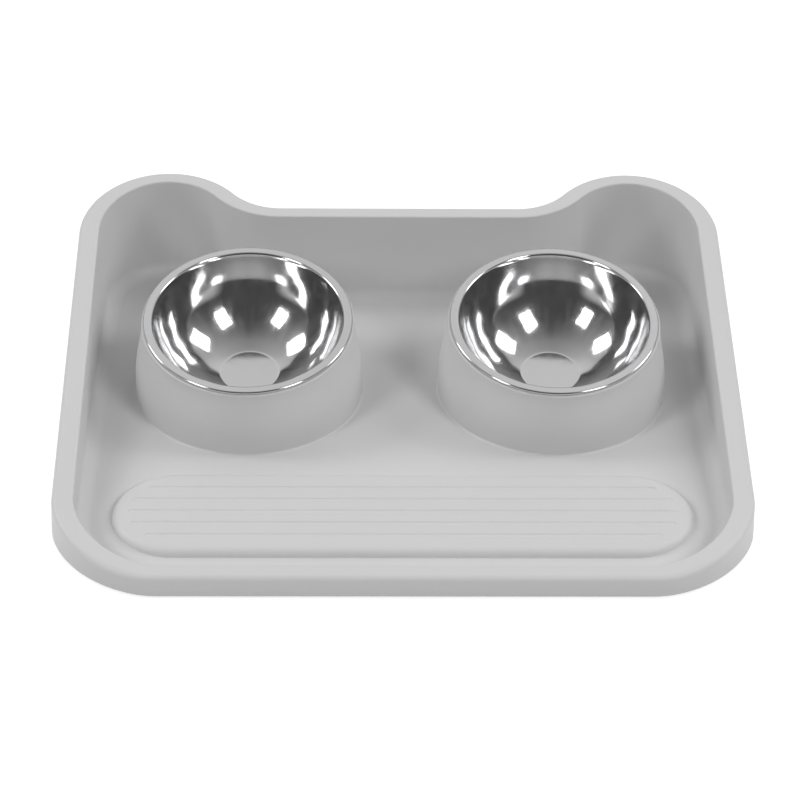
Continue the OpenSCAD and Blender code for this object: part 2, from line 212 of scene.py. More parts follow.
class Moulding:
    """The tray's lengths and the rings of points that follow its outline and its pedestals."""

    def __init__(self, tray, bowl):
        self.s = tray
        side_x = TRAY_HIGH.x - tray.skirt_flare
        lobe_y = TRAY_HIGH.y - tray.skirt_flare
        self.front_y = TRAY_LOW.y + tray.skirt_flare
        self.rear_y = lobe_y - tray.lobe_rise
        r, turned = tray.corner_radius, tray.corner_turn
        flatter = tray.corner_mid_radius - r
        reach = flatter * (cos(turned) - sin(turned))
        self.corner_front = Vector((side_x - r - reach, self.front_y + r))
        self.corner_side = Vector((side_x - r, self.front_y + r + reach))
        self.corner_mid = self.corner_side + flatter * Vector((-cos(turned), sin(turned)))
        self.lobe = Vector((side_x - tray.lobe_radius, lobe_y - tray.lobe_radius))
        blend_y = self.rear_y + tray.blend_radius
        across = sqrt((tray.lobe_radius + tray.blend_radius) ** 2 - (blend_y - self.lobe.y) ** 2)
        self.blend = Vector((self.lobe.x - across, blend_y))
        self.floor_under = tray.floor_height - tray.wall
        self.seat_z = tray.seat_height
        self.bore_radius = sqrt(
            (bowl.cup_radius + bowl.steel) ** 2 - bowl.cup_centre_height ** 2) + bowl.clearance
        self.pad_y = self.front_y + tray.rim_front_width + tray.pad_front_gap + tray.pad_depth / 2
        self.pad_half = side_x - tray.rim_side_width - tray.pad_side_gap - tray.pad_depth / 2
        self.outline = self.closed_outline()

    def rim_z(self, y):
        return self.s.rim_front_height + (y - self.front_y) * tan(TILT)

    def closed_outline(self):
        """Points of the outline with their outward directions, once round from the front."""
        lobe_end = atan2(self.blend.y - self.lobe.y, self.blend.x - self.lobe.x)
        turned = self.s.corner_turn
        right = (
            outline_arc(self.corner_front, self.s.corner_radius, -pi / 2, turned - pi / 2, 1)
            + outline_arc(self.corner_mid, self.s.corner_mid_radius, turned - pi / 2, -turned, 1)[1:]
            + outline_arc(self.corner_side, self.s.corner_radius, -turned, 0, 1)[1:]
            + outline_arc(self.lobe, self.s.lobe_radius, 0, pi / 2, 1)
            + outline_arc(self.lobe, self.s.lobe_radius, pi / 2, lobe_end, 1)[1:]
            + outline_arc(self.blend, self.s.blend_radius, lobe_end - pi, -pi / 2, -1)[1:]
        )
        left = [(Vector((-p.x, p.y)), Vector((-n.x, n.y))) for p, n in reversed(right)]
        return right + left

    def moved_in(self, point, share, inward):
        """A point of the outline moved in by a share of the rim's width and by a length."""
        p, n = point
        rim = self.s.rim_front_width if n.y < 0 else self.s.rim_rear_width
        return Vector((
            p.x - (share * self.s.rim_side_width + inward) * n.x,
            p.y - (share * rim + inward) * n.y))

    def level_ring(self, share, inward, z):
        return [self.moved_in(p, share, inward).to_3d() + Vector((0, 0, z)) for p in self.outline]

    def rim_ring(self, share, inward, drop):
        ring = []
        for p in self.outline:
            q = self.moved_in(p, share, inward)
            ring.append(Vector((q.x, q.y, self.rim_z(q.y) - drop)))
        return ring

    def wall_ring(self, inward, z=None, drop=0.0):
        """A ring on the drafted wall, at a height or at a depth below the rim's inner edge."""
        ring = []
        for p in self.outline:
            top = self.rim_z(self.moved_in(p, 1, 0).y)
            level = top - drop if z is None else z
            q = self.moved_in(p, 1, inward + (top - level) * tan(self.s.wall_draft))
            ring.append(Vector((q.x, q.y, level)))
        return ring

    def round_ring(self, side, radius, z):
        return [
            Vector((side * BOWL_X + radius * cos(a), self.s.pedestal_y + radius * sin(a), z))
            for a in turn(PEDESTAL_POINTS)]

    def seat_ring(self, side, radius, height):
        """A circle in the plane of a seat, at a height square to it."""
        return [
            Vector((
                side * BOWL_X + radius * cos(a),
                self.s.pedestal_y + radius * sin(a) * cos(TILT) - height * sin(TILT),
                self.seat_z + radius * sin(a) * sin(TILT) + height * cos(TILT)))
            for a in turn(PEDESTAL_POINTS)]

    def leaning_ring(self, side, base_radius, top_radius, top_height, share):
        """A section of a pedestal between its round base on the floor and its leaning lip."""
        lean = (1 - cos(pi * share ** LEAN_POWER)) / 2
        base = self.round_ring(side, base_radius, self.s.floor_height)
        lip = self.seat_ring(side, top_radius, top_height)
        return [
            Vector((b.x + (t.x - b.x) * lean, b.y + (t.y - b.y) * lean, b.z + (t.z - b.z) * share))
            for b, t in zip(base, lip)]


def turn(steps):
    return [2 * pi * i / steps for i in range(steps)]


def spread(start, end, steps):
    """Values from start to end, both included."""
    return [start + (end - start) * i / steps for i in range(steps + 1)]


def outline_arc(centre, radius, start, end, outward):
    steps = max(2, ceil(abs(end - start) / OUTLINE_STEP))
    points = []
    for a in spread(start, end, steps):
        direction = Vector((cos(a), sin(a)))
        points.append((centre + radius * direction, outward * direction))
    return points


def oblong_ring(half_length, radius, y, z, steps):
    """A ring round an oblong with half-round ends, once round from its right end."""
    ring = []
    for side, start in ((1, -pi / 2), (-1, pi / 2)):
        for a in spread(start, start + pi, steps):
            ring.append(Vector((side * half_length + radius * cos(a), y + radius * sin(a), z)))
    return ring


# Mesh tools

def first_ring(bm, points):
    ring = [bm.verts.new(p) for p in points]
    for a, b in zip(ring, ring[1:] + ring[:1]):
        bm.edges.new((a, b))
    return ring


def ring_edges(bm, ring):
    return [bm.edges.get((a, b)) for a, b in zip(ring, ring[1:] + ring[:1])]


def next_ring(bm, ring, points):
    """Extrudes a ring of edges and moves the new ring to the points."""
    made = bmesh.ops.extrude_edge_only(bm, edges=ring_edges(bm, ring))["geom"]
    new = {v for v in made if isinstance(v, bmesh.types.BMVert)}
    moved = []
    for v, p in zip(ring, points):
        w = next(e.other_vert(v) for e in v.link_edges if e.other_vert(v) in new)
        w.co = p
        moved.append(w)
    return moved


def grow(bm, rings):
    """A skin through rings of points. Gives its first and its last ring."""
    first = last = first_ring(bm, rings[0])
    for points in rings[1:]:
        last = next_ring(bm, last, points)
    return first, last


def fill(bm, rings):
    """A flat face inside the first ring, with the other rings as its holes."""
    edges = [e for ring in rings for e in ring_edges(bm, ring)]
    bmesh.ops.triangle_fill(bm, use_beauty=True, use_dissolve=False, edges=edges)


def finished(name, bm, material, body, node):
    """Closes a piece: faces outwards, smooth but for its sharp edges, and riding on its body."""
    bmesh.ops.recalc_face_normals(bm, faces=bm.faces)
    if any(not e.is_manifold for e in bm.edges):
        raise RuntimeError(name + " isn't closed")
    if bm.calc_volume(signed=True) < 0:
        bmesh.ops.reverse_faces(bm, faces=bm.faces)
    for f in bm.faces:
        f.smooth = True
    for e in bm.edges:
        e.smooth = e.calc_face_angle(0) < SHARP_ANGLE
    mesh = bpy.data.meshes.new(name)
    bm.to_mesh(mesh)
    bm.free()
    mesh.materials.append(material)
    piece = bpy.data.objects.new(name, mesh)
    bpy.context.scene.collection.objects.link(piece)
    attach(piece, body)
    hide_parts(node)


def revolved(bm, profile, steps):
    """Spins a section of (radius, height) points, which starts and ends on the axis."""
    verts = [bm.verts.new((r, 0, z)) for r, z in profile]
    edges = [bm.edges.new(pair) for pair in zip(verts, verts[1:])]
    bmesh.ops.spin(
        bm, geom=verts + edges, cent=(0, 0, 0), axis=(0, 0, 1), angle=2 * pi, steps=steps,
        use_merge=True)
    bmesh.ops.remove_doubles(bm, verts=bm.verts, dist=WELD_DISTANCE)


def section_arc(x, z, radius, start, end, steps):
    """Points of a section's arc; the angles are in degrees from the outward direction."""
    return [
        (x + radius * cos(radians(a)), z + radius * sin(radians(a)))
        for a in spread(start, end, steps)]


# The tray

def rim_and_wall_rings(m):
    """From the floor's underside round the wall, rim and skirt to the floor's upper face."""
    s = m.s
    foot_in = s.wall_foot_radius * cos(s.wall_draft)
    foot_z = s.floor_height + s.wall_foot_radius
    outer = s.wall_foot_radius + s.wall
    bends = spread(s.wall_draft, pi / 2, steps=9)
    rings = [m.wall_ring(foot_in + SUPPORT, m.floor_under)]
    rings += [m.wall_ring(foot_in - outer * cos(a), foot_z - outer * sin(a)) for a in reversed(bends)]
    rings += [
        m.wall_ring(-s.wall, drop=s.wall + SUPPORT),
        m.rim_ring(1, -s.wall, s.wall),
        m.rim_ring(0, s.wall + s.rim_edge_radius, s.wall),
        m.rim_ring(0, s.wall, s.wall + s.rim_edge_radius),
        m.level_ring(0, s.wall - s.skirt_flare, s.skirt_gap),
        m.level_ring(0, SKIRT_EDGE - s.skirt_flare, s.skirt_gap),
        m.level_ring(0, -s.skirt_flare, s.skirt_gap + SKIRT_EDGE),
        m.level_ring(0, -s.skirt_flare, s.skirt_gap + SKIRT_EDGE + SUPPORT),
        m.rim_ring(0, 0, s.rim_edge_radius + SUPPORT),
    ]
    rings += [
        m.rim_ring(0, s.rim_edge_radius * (1 - cos(a)), s.rim_edge_radius * (1 - sin(a)))
        for a in spread(0, pi / 2, steps=10)]
    rings += [
        m.rim_ring(0, s.rim_edge_radius + SUPPORT, 0),
        m.rim_ring(1, -s.rim_inner_radius - SUPPORT, 0),
    ]
    rings += [
        m.rim_ring(1, s.rim_inner_radius * (sin(a) - 1), s.rim_inner_radius * (1 - cos(a)))
        for a in spread(0, pi / 2, steps=6)]
    rings += [m.wall_ring(0, drop=s.rim_inner_radius + SUPPORT)]
    rings += [m.wall_ring(0, foot_z + SUPPORT - s.wall_foot_radius * sin(s.wall_draft))]
    rings += [
        m.wall_ring(foot_in - s.wall_foot_radius * cos(a), foot_z - s.wall_foot_radius * sin(a))
        for a in bends]
    rings += [m.wall_ring(foot_in + SUPPORT, s.floor_height)]
    return rings


def pedestal_rings(m, side):
    """From the floor over the foot, side, lip and bore and down the hollow to the underside."""
    s = m.s
    foot, lip = s.pedestal_foot_radius, s.pedestal_lip_radius
    rings = [m.round_ring(side, s.pedestal_base_radius + foot + SUPPORT, s.floor_height)]
    rings += [
        m.round_ring(
            side, s.pedestal_base_radius + foot * (1 - sin(a)), s.floor_height + foot * (1 - cos(a)))
        for a in spread(0, pi / 2, steps=5)]
    rings += [
        m.leaning_ring(side, s.pedestal_base_radius, s.pedestal_top_radius, -lip, share)
        for share in spread(PEDESTAL_SIDE_START, 1, PEDESTAL_SIDE_RINGS)]
    rings += [
        m.seat_ring(side, s.pedestal_top_radius - lip * (1 - cos(a)), -lip * (1 - sin(a)))
        for a in spread(pi / 10, pi / 2, steps=5)]
    rings += [
        m.seat_ring(side, s.pedestal_top_radius - lip - SUPPORT, 0),
        m.seat_ring(side, m.bore_radius + BORE_EDGE + SUPPORT, 0),
    ]
    rings += [
        m.seat_ring(side, m.bore_radius + BORE_EDGE * (1 - sin(a)), -BORE_EDGE * (1 - cos(a)))
        for a in spread(0, pi / 2, steps=3)]
    rings += [m.seat_ring(side, m.bore_radius, -s.wall)]
    hollow_base = s.pedestal_base_radius - s.wall
    hollow_top = s.pedestal_top_radius - s.wall
    rings += [
        m.leaning_ring(side, hollow_base, hollow_top, -s.wall, share)
        for share in spread(1, 0, PEDESTAL_SIDE_RINGS // 2)]
    rings += [m.round_ring(side, hollow_base, m.floor_under)]
    return rings


def add_groove(bm, half_length, width, depth, y, z):
    """One groove with a rounded bottom and soft edges. Gives the ring at the pad's face."""
    radius = (width ** 2 / 4 + depth ** 2) / (2 * depth)
    widest = asin(width / 2 / radius)
    reach = half_length - width / 2

    def ring(half_width, height):
        return oblong_ring(reach, half_width, y, height, GROOVE_END_STEPS)

    rings = [ring(width / 2 + GROOVE_EDGE + SUPPORT / 2, z)]
    # The soft edge sinks to about a third of its width, where the groove's side takes over
    for share in (1, 0.6, 0.25):
        edge_drop = GROOVE_EDGE * (1 - share) ** 2 / 2
        rings.append(ring(width / 2 + GROOVE_EDGE * share, z - edge_drop))
    for a in spread(widest, widest / 6, steps=6):
        below_edge = GROOVE_EDGE * 0.3 * a / widest
        rings.append(ring(radius * sin(a), z - depth + radius * (1 - cos(a)) - below_edge))
    first, last = grow(bm, rings)
    fill(bm, [last])
    return first


def add_pad(bm, m):
    """The ribbed pad and the hollow under it. Gives its rings in the floor's two faces."""
    s = m.s
    reach = s.pad_depth / 2
    top = s.floor_height + s.pad_height
    foot, edge = s.pad_foot_radius, s.pad_edge_radius

    def ring(radius, height):
        return oblong_ring(m.pad_half, radius, m.pad_y, height, PAD_END_STEPS)

    rings = [ring(reach + foot + SUPPORT, s.floor_height)]
    rings += [
        ring(reach + foot * (1 - sin(a)), s.floor_height + foot * (1 - cos(a)))
        for a in spread(0, pi / 2, steps=3)[:-1]]
    rings += [
        ring(reach - edge * (1 - cos(a)), top - edge * (1 - sin(a)))
        for a in spread(0, pi / 2, steps=10)]
    rings += [ring(reach - edge - SUPPORT, top)]
    in_floor, upper = grow(bm, rings)
    holes = []
    end_radius = reach - s.groove_margin
    middle = (s.groove_count - 1) / 2
    for i in range(s.groove_count):
        off = (i - middle) * s.groove_pitch
        half_length = m.pad_half + sqrt(end_radius ** 2 - off ** 2)
        holes.append(add_groove(bm, half_length, s.groove_width, s.groove_depth, m.pad_y + off, top))
    fill(bm, [upper] + holes)

    ceiling = top - s.wall
    inner = reach - s.wall
    # How far the middle of the rounded corner lies from the two faces that it joins
    eased = 0.3 * PAD_HOLLOW_CORNER
    in_underside, last = grow(bm, [
        ring(inner, m.floor_under),
        ring(inner, ceiling - PAD_HOLLOW_CORNER),
        ring(inner - eased, ceiling - eased),
        ring(inner - PAD_HOLLOW_CORNER, ceiling),
    ])
    fill(bm, [last])
    return in_floor, in_underside


def foot_centres(m, feet):
    """Centre of each foot on the ground, by the name of its CAD node."""
    centres = {}
    pad_end = Vector((m.pad_half, m.pad_y))
    front_reach = m.s.pad_depth / 2 + feet.pad_gap + feet.diameter / 2
    for side, side_name in ((-1, "left"), (1, "right")):
        for centre, reach, along, place in (
                (pad_end, front_reach, -1, "front"), (m.lobe, feet.rear_reach, 1, "rear")):
            across, back = reach * cos(feet.direction), along * reach * sin(feet.direction)
            centres[f"foot_{place}_{side_name}"] = Vector(
                (side * (centre.x + across), centre.y + back, 0))
    return centres


def build_tray(context):
    scene = context.scene
    m = Moulding(scene.feeder_tray, scene.feeder_bowl)
    feet = scene.feeder_foot
    bm = bmesh.new()
    underside, floor = grow(bm, rim_and_wall_rings(m))
    floor_rings, under_rings = [floor], [underside]
    for side in (-1, 1):
        upper, lower = grow(bm, pedestal_rings(m, side))
        floor_rings.append(upper)
        under_rings.append(lower)
    upper, lower = add_pad(bm, m)
    floor_rings.append(upper)
    under_rings.append(lower)
    recess_radius = feet.diameter / 2 + feet.clearance
    for centre in foot_centres(m, feet).values():
        rings = [
            [centre + Vector((recess_radius * cos(a), recess_radius * sin(a), z))
             for a in turn(RECESS_POINTS)]
            for z in (m.floor_under, m.floor_under + feet.recess)]
        first, last = grow(bm, rings)
        under_rings.append(first)
        fill(bm, [last])
    fill(bm, floor_rings)
    fill(bm, under_rings)
    finished("tray_shell", bm, moulded_plastic(scene.feeder_finish), "tray", "tray")


# Bowls and feet

def drawn_in(b, points):
    """Points of the cup's wall, drawn in a little below the flange."""
    height = b.cup_depth + b.flange_height
    moved = []
    for x, z in points:
        share = max(0, (z + b.cup_depth) / height)
        moved.append((x - b.waist * sin(pi * share ** WAIST_POWER), z))
    return moved


def bowl_section(b):
    """Outline of the pressed steel from the middle of the inside to the middle of the underside."""
    base_c = -b.cup_depth + b.cup_base_radius
    base_x = sqrt((b.cup_radius - b.cup_base_radius) ** 2 - (b.cup_centre_height - base_c) ** 2)
    base_end = degrees(atan2(base_c - b.cup_centre_height, base_x))
    bend_z = b.flange_height - b.bend_radius
    bend_x = sqrt((b.cup_radius + b.bend_radius) ** 2 - (b.cup_centre_height - bend_z) ** 2)
    cup_end = degrees(atan2(bend_z - b.cup_centre_height, bend_x))
    bead_x = b.flange_radius - b.bead_radius
    bead_z = b.flange_height - b.bead_radius
    under_z = b.flange_height - b.steel
    seat_cut = degrees(asin(bead_z / b.bead_radius))
    under_cut = degrees(asin((under_z - bead_z) / b.bead_radius))
    inside = [(0, -b.cup_depth), (base_x / 2, -b.cup_depth), (base_x - SUPPORT, -b.cup_depth)]
    inside += section_arc(base_x, base_c, b.cup_base_radius, -90, base_end, steps=4)
    cup = section_arc(0, b.cup_centre_height, b.cup_radius, base_end, cup_end, CUP_STEPS)
    inside += drawn_in(b, cup[1:])
    inside += section_arc(bend_x, bend_z, b.bend_radius, 180 + cup_end, 90, steps=8)[1:]
    band = [(bend_x + SUPPORT / 2, b.flange_height), (bead_x - SUPPORT / 2, b.flange_height)]
    bead = section_arc(bead_x, bead_z, b.bead_radius, 90, -seat_cut, steps=12)
    bead += section_arc(bead_x, bead_z, b.bead_radius, seat_cut - 180, -180 - under_cut, steps=6)
    outside = section_arc(bend_x, bend_z, b.bend_radius - b.steel, 90, 180 + cup_end, steps=6)
    cup = section_arc(0, b.cup_centre_height, b.cup_radius + b.steel, cup_end, base_end, CUP_STEPS)
    outside += drawn_in(b, cup[1:])
    outside += section_arc(base_x, base_c, b.cup_base_radius + b.steel, base_end, -90, steps=4)[1:]
    outside += [(base_x - SUPPORT, -b.cup_depth - b.steel), (0, -b.cup_depth - b.steel)]
    return inside + band + bead + outside


def build_bowls(context):
    scene = context.scene
    m = Moulding(scene.feeder_tray, scene.feeder_bowl)
    steel = polished_steel(scene.feeder_finish, m)
    for side, name in ((-1, "left_bowl"), (1, "right_bowl")):
        bm = bmesh.new()
        revolved(bm, bowl_section(scene.feeder_bowl), BOWL_STEPS)
        place = Matrix.Translation((side * BOWL_X, m.s.pedestal_y, m.seat_z))
        bmesh.ops.transform(bm, matrix=place @ Matrix.Rotation(TILT, 4, "X"), verts=bm.verts)
        finished(name + "_steel", bm, steel, name, name)


def build_feet(context):
    scene = context.scene
    m = Moulding(scene.feeder_tray, scene.feeder_bowl)
    f = scene.feeder_foot
    rubber = soft_rubber(scene.feeder_finish)
    height = m.floor_under + f.recess
    radius = f.diameter / 2
    profile = [
        (0, height), (radius - FOOT_UPPER_EDGE, height), (radius, height - FOOT_UPPER_EDGE),
        (radius, f.edge_radius + SUPPORT)]
    profile += section_arc(radius - f.edge_radius, f.edge_radius, f.edge_radius, 0, -90, steps=6)
    profile += [(radius * SOLE_OUTER, 0), (radius * SOLE_INNER, SOLE_DEPTH), (0, SOLE_DEPTH)]
    for name, centre in foot_centres(m, f).items():
        bm = bmesh.new()
        revolved(bm, profile, FOOT_STEPS)
        bmesh.ops.translate(bm, vec=centre, verts=bm.verts)
        finished(name + "_rubber", bm, rubber, "tray", name)


# Materials

def add(tree, kind, **values):
    """A node with its settings and the values of its sockets, by attribute or socket name."""
    n = tree.nodes.new(kind)
    for key, value in values.items():
        if hasattr(n, key):
            setattr(n, key, value)
        else:
            n.inputs[key.replace("_", " ")].default_value = value
    return n


def maths(tree, operation, first, second=None):
    """A Math node whose operands are numbers or sockets. Gives its output socket."""
    n = tree.nodes.new("ShaderNodeMath")
    n.operation = operation
    for socket, value in zip(n.inputs, (first, second)):
        if value is None:
            continue
        if isinstance(value, (int, float)):
            socket.default_value = value
        else:
            tree.links.new(value, socket)
    return n.outputs[0]


def new_material(name):
    material = bpy.data.materials.new(name)
    material.use_nodes = True
    shader = material.node_tree.nodes["Principled BSDF"]
    return material, material.node_tree, shader


def surface_grain():
    """Node group: fine moulded grain as a height, and a slow change of tone over the surface."""
    group = bpy.data.node_groups.get("surface_grain")
    if group:
        return group
    group = bpy.data.node_groups.new("surface_grain", "ShaderNodeTree")
    face = group.interface
    face.new_socket(name="Vector", in_out="INPUT", socket_type="NodeSocketVector")
    face.new_socket(name="Grain Scale", in_out="INPUT", socket_type="NodeSocketFloat")
    face.new_socket(name="Tone Scale", in_out="INPUT", socket_type="NodeSocketFloat")
    face.new_socket(name="Height", in_out="OUTPUT", socket_type="NodeSocketFloat")
    face.new_socket(name="Tone", in_out="OUTPUT", socket_type="NodeSocketFloat")
    start = group.nodes.new("NodeGroupInput")
    end = group.nodes.new("NodeGroupOutput")
    fine = add(group, "ShaderNodeTexNoise", Detail=2.0, Roughness=0.6)
    slow = add(group, "ShaderNodeTexNoise", Detail=3.0, Roughness=0.55)
    for noise, scale in ((fine, "Grain Scale"), (slow, "Tone Scale")):
        group.links.new(start.outputs["Vector"], noise.inputs["Vector"])
        group.links.new(start.outputs[scale], noise.inputs["Scale"])
    group.links.new(fine.outputs["Fac"], end.inputs["Height"])
    group.links.new(slow.outputs["Fac"], end.inputs["Tone"])
    return group


def tone_mix(tree, tone, dark, light):
    """A colour between two tones of the same finish."""
    mix = tree.nodes.new("ShaderNodeMix")
    mix.data_type = "RGBA"
    mix.inputs[6].default_value = (*dark, 1)
    mix.inputs[7].default_value = (*light, 1)
    tree.links.new(tone, mix.inputs[0])
    return mix.outputs[2]


def ranged(tree, value, low, high):
    """A 0 to 1 value spread over another range."""
    n = add(tree, "ShaderNodeMapRange", To_Min=low, To_Max=high)
    tree.links.new(value, n.inputs["Value"])
    return n.outputs["Result"]


def stepped(tree, value, start, end):
    """Rises smoothly from 0 to 1 between two values."""
    n = add(tree, "ShaderNodeMapRange", interpolation_type="SMOOTHSTEP", From_Min=start, From_Max=end)
    tree.links.new(value, n.inputs["Value"])
    return n.outputs["Result"]


def bump(tree, height, strength, distance):
    n = add(tree, "ShaderNodeBump", Strength=strength, Distance=distance)
    tree.links.new(height, n.inputs["Height"])
    return n.outputs["Normal"]


def toned(shade, factor):
    """A colour made lighter or darker by a factor."""
    return tuple(min(1, c * factor) for c in shade)


def grained(tree, grain_scale, tone_scale):
    """The grain group on Object coordinates; the scales are in repeats per metre."""
    place = tree.nodes.new("ShaderNodeTexCoord")
    grain = tree.nodes.new("ShaderNodeGroup")
    grain.node_tree = surface_grain()
    grain.inputs["Grain Scale"].default_value = grain_scale
    grain.inputs["Tone Scale"].default_value = tone_scale
    tree.links.new(place.outputs["Object"], grain.inputs["Vector"])
    return grain


def moulded_plastic(finish):
    """Satin light grey plastic with the fine grain of its mould."""
    material, tree, shader = new_material("moulded_plastic")
    grain = grained(tree, grain_scale=1 / finish.grain, tone_scale=14.0)
    tone = grain.outputs["Tone"]
    link = tree.links.new
    link(
        tone_mix(tree, tone, dark=toned(finish.plastic, 0.985), light=toned(finish.plastic, 1.01)),
        shader.inputs["Base Color"])
    link(ranged(tree, tone, low=0.40, high=0.52), shader.inputs["Roughness"])
    link(bump(tree, grain.outputs["Height"], strength=0.10, distance=0.0001), shader.inputs["Normal"])
    return material


def soft_rubber(finish):
    """Dull dark rubber, slightly uneven."""
    material, tree, shader = new_material("soft_rubber")
    grain = grained(tree, grain_scale=2500.0, tone_scale=300.0)
    tone = grain.outputs["Tone"]
    link = tree.links.new
    link(
        tone_mix(tree, tone, dark=finish.rubber, light=toned(finish.rubber, 1.35)),
        shader.inputs["Base Color"])
    link(ranged(tree, tone, low=0.75, high=0.9), shader.inputs["Roughness"])
    link(bump(tree, grain.outputs["Height"], strength=0.3, distance=0.0001), shader.inputs["Normal"])
    return material


# Patterns of the steel: their scales in repeats per metre, and their heights beside that of the waves
LINE_SCALE = 1600.0
RING_SCALE = 75.0
WAVE_SCALE = 28.0
LINE_HEIGHT = 0.02
RING_HEIGHT = 1.8
# How much a point's height counts beside its radius in the lines and the rings
LINE_CLIMB = 0.8
# The wiped haze runs in streaks: its scale round the bowl, and how fast it changes with the height
WIPE_SCALE = 9.0
WIPE_CLIMB = 12.0


def polished_steel(finish, m):
    """Mirror-polished spun steel with faint rings round each bowl's own axis and a wiped haze.

    The pattern is laid out on the right bowl, and the left one mirrors it.
    """
    material, tree, shader = new_material("polished_steel")
    link = tree.links.new
    shader.inputs["Metallic"].default_value = 1.0
    place = tree.nodes.new("ShaderNodeTexCoord")
    split = tree.nodes.new("ShaderNodeSeparateXYZ")
    join = tree.nodes.new("ShaderNodeCombineXYZ")
    link(place.outputs["Object"], split.inputs[0])
    link(maths(tree, "ABSOLUTE", split.outputs["X"]), join.inputs["X"])
    link(split.outputs["Y"], join.inputs["Y"])
    link(split.outputs["Z"], join.inputs["Z"])
    centred = add(tree, "ShaderNodeMapping", vector_type="TEXTURE")
    centred.inputs["Location"].default_value = (BOWL_X, m.s.pedestal_y, m.seat_z)
    centred.inputs["Rotation"].default_value = (TILT, 0, 0)
    link(join.outputs[0], centred.inputs["Vector"])
    local = tree.nodes.new("ShaderNodeSeparateXYZ")
    link(centred.outputs[0], local.inputs[0])
    x, y, z = local.outputs
    squares = [maths(tree, "MULTIPLY", part, part) for part in (x, y)]
    radius = maths(tree, "SQRT", maths(tree, "ADD", *squares))
    along = maths(tree, "ADD", radius, maths(tree, "MULTIPLY", z, LINE_CLIMB))
    lines = add(
        tree, "ShaderNodeTexNoise", noise_dimensions="1D", Scale=LINE_SCALE, Detail=2.0, Roughness=0.6)
    link(along, lines.inputs["W"])
    waves = add(tree, "ShaderNodeTexNoise", Scale=WAVE_SCALE, Detail=1.0, Roughness=0.4)
    link(centred.outputs[0], waves.inputs["Vector"])
    rings = add(
        tree, "ShaderNodeTexNoise", noise_dimensions="1D", Scale=RING_SCALE, Detail=0.0, Roughness=0.4)
    link(along, rings.inputs["W"])
    height = maths(tree, "MULTIPLY", lines.outputs["Fac"], LINE_HEIGHT)
    height = maths(tree, "ADD", height, waves.outputs["Fac"])
    height = maths(tree, "ADD", height, maths(tree, "MULTIPLY", rings.outputs["Fac"], RING_HEIGHT))
    outward = add(tree, "ShaderNodeVectorMath", operation="NORMALIZE")
    flat = tree.nodes.new("ShaderNodeCombineXYZ")
    link(x, flat.inputs["X"])
    link(y, flat.inputs["Y"])
    link(flat.outputs[0], outward.inputs[0])
    turned = tree.nodes.new("ShaderNodeSeparateXYZ")
    link(outward.outputs[0], turned.inputs[0])
    swept = tree.nodes.new("ShaderNodeCombineXYZ")
    link(turned.outputs["X"], swept.inputs["X"])
    link(turned.outputs["Y"], swept.inputs["Y"])
    link(maths(tree, "MULTIPLY", z, WIPE_CLIMB), swept.inputs["Z"])
    wiped = add(tree, "ShaderNodeTexNoise", Scale=WIPE_SCALE, Detail=4.0, Roughness=0.65)
    link(swept.outputs[0], wiped.inputs["Vector"])
    haze = stepped(tree, wiped.outputs["Fac"], start=0.35, end=0.7)
    link(ranged(tree, haze, low=0.35, high=1.0), shader.inputs["Coat Weight"])
    shader.inputs["Coat Roughness"].default_value = 0.45
    link(
        tone_mix(tree, lines.outputs["Fac"], dark=toned(finish.steel, 0.97), light=finish.steel),
        shader.inputs["Base Color"])
    polish = ranged(tree, lines.outputs["Fac"], low=0.06, high=0.10)
    dulled = ranged(tree, haze, low=0.0, high=0.05)
    link(maths(tree, "ADD", polish, dulled), shader.inputs["Roughness"])
    link(bump(tree, height, strength=0.25, distance=0.0004), shader.inputs["Normal"])
    return material


# Studio

def studio_way(azimuth, elevation):
    """A direction from the object, in degrees from the rear round to the right, and up."""
    a, e = radians(azimuth), radians(elevation)
    return Vector((sin(a) * cos(e), cos(a) * cos(e), sin(e)))


# The camera's place, the directions to the right and up in its picture, and its lens in millimetres
CAMERA_PLACE = Vector((-0.0334, -1.3593, 0.9946))
CAMERA_RIGHT = Vector((0.99981, -0.01458, 0.01326))
CAMERA_UP = Vector((-0.00223, 0.58462, 0.8113))
CAMERA_LENS = 121.28
SENSOR_WIDTH = 36.0
# Each softbox: its azimuth, its elevation, its width and its height, all in degrees as seen from
# the object, and its share of the brightness
SOFTBOXES = (
    (-127.8, 37.8, 13.4, 19.2, 1.05),
    (-75.7, 36.2, 15.8, 19.6, 0.86),
    (80.8, 36.9, 16.4, 21.4, 0.80),
    (136.5, 42.5, 14.2, 21.0, 1.10),
)
# The point that the softboxes face
AIM = Vector((0, 0.02, 0.05))
# Direction of the pale panel's right half, and the share of its light by the cosine of the angle
# from there
PANEL_WAY = studio_way(22, 51)
PANEL_FALL = (
    (0.0, 0.09), (0.26, 0.10), (0.39, 0.15), (0.515, 0.25), (0.643, 0.36), (0.743, 0.44), (0.82, 0.51),
    (0.90, 0.62), (0.94, 0.76), (0.97, 0.88), (1.0, 1.0))
# Share of the floor's light that a shadow can take from it, as the camera and the steel see it
FLOOR_SHADED = 0.35


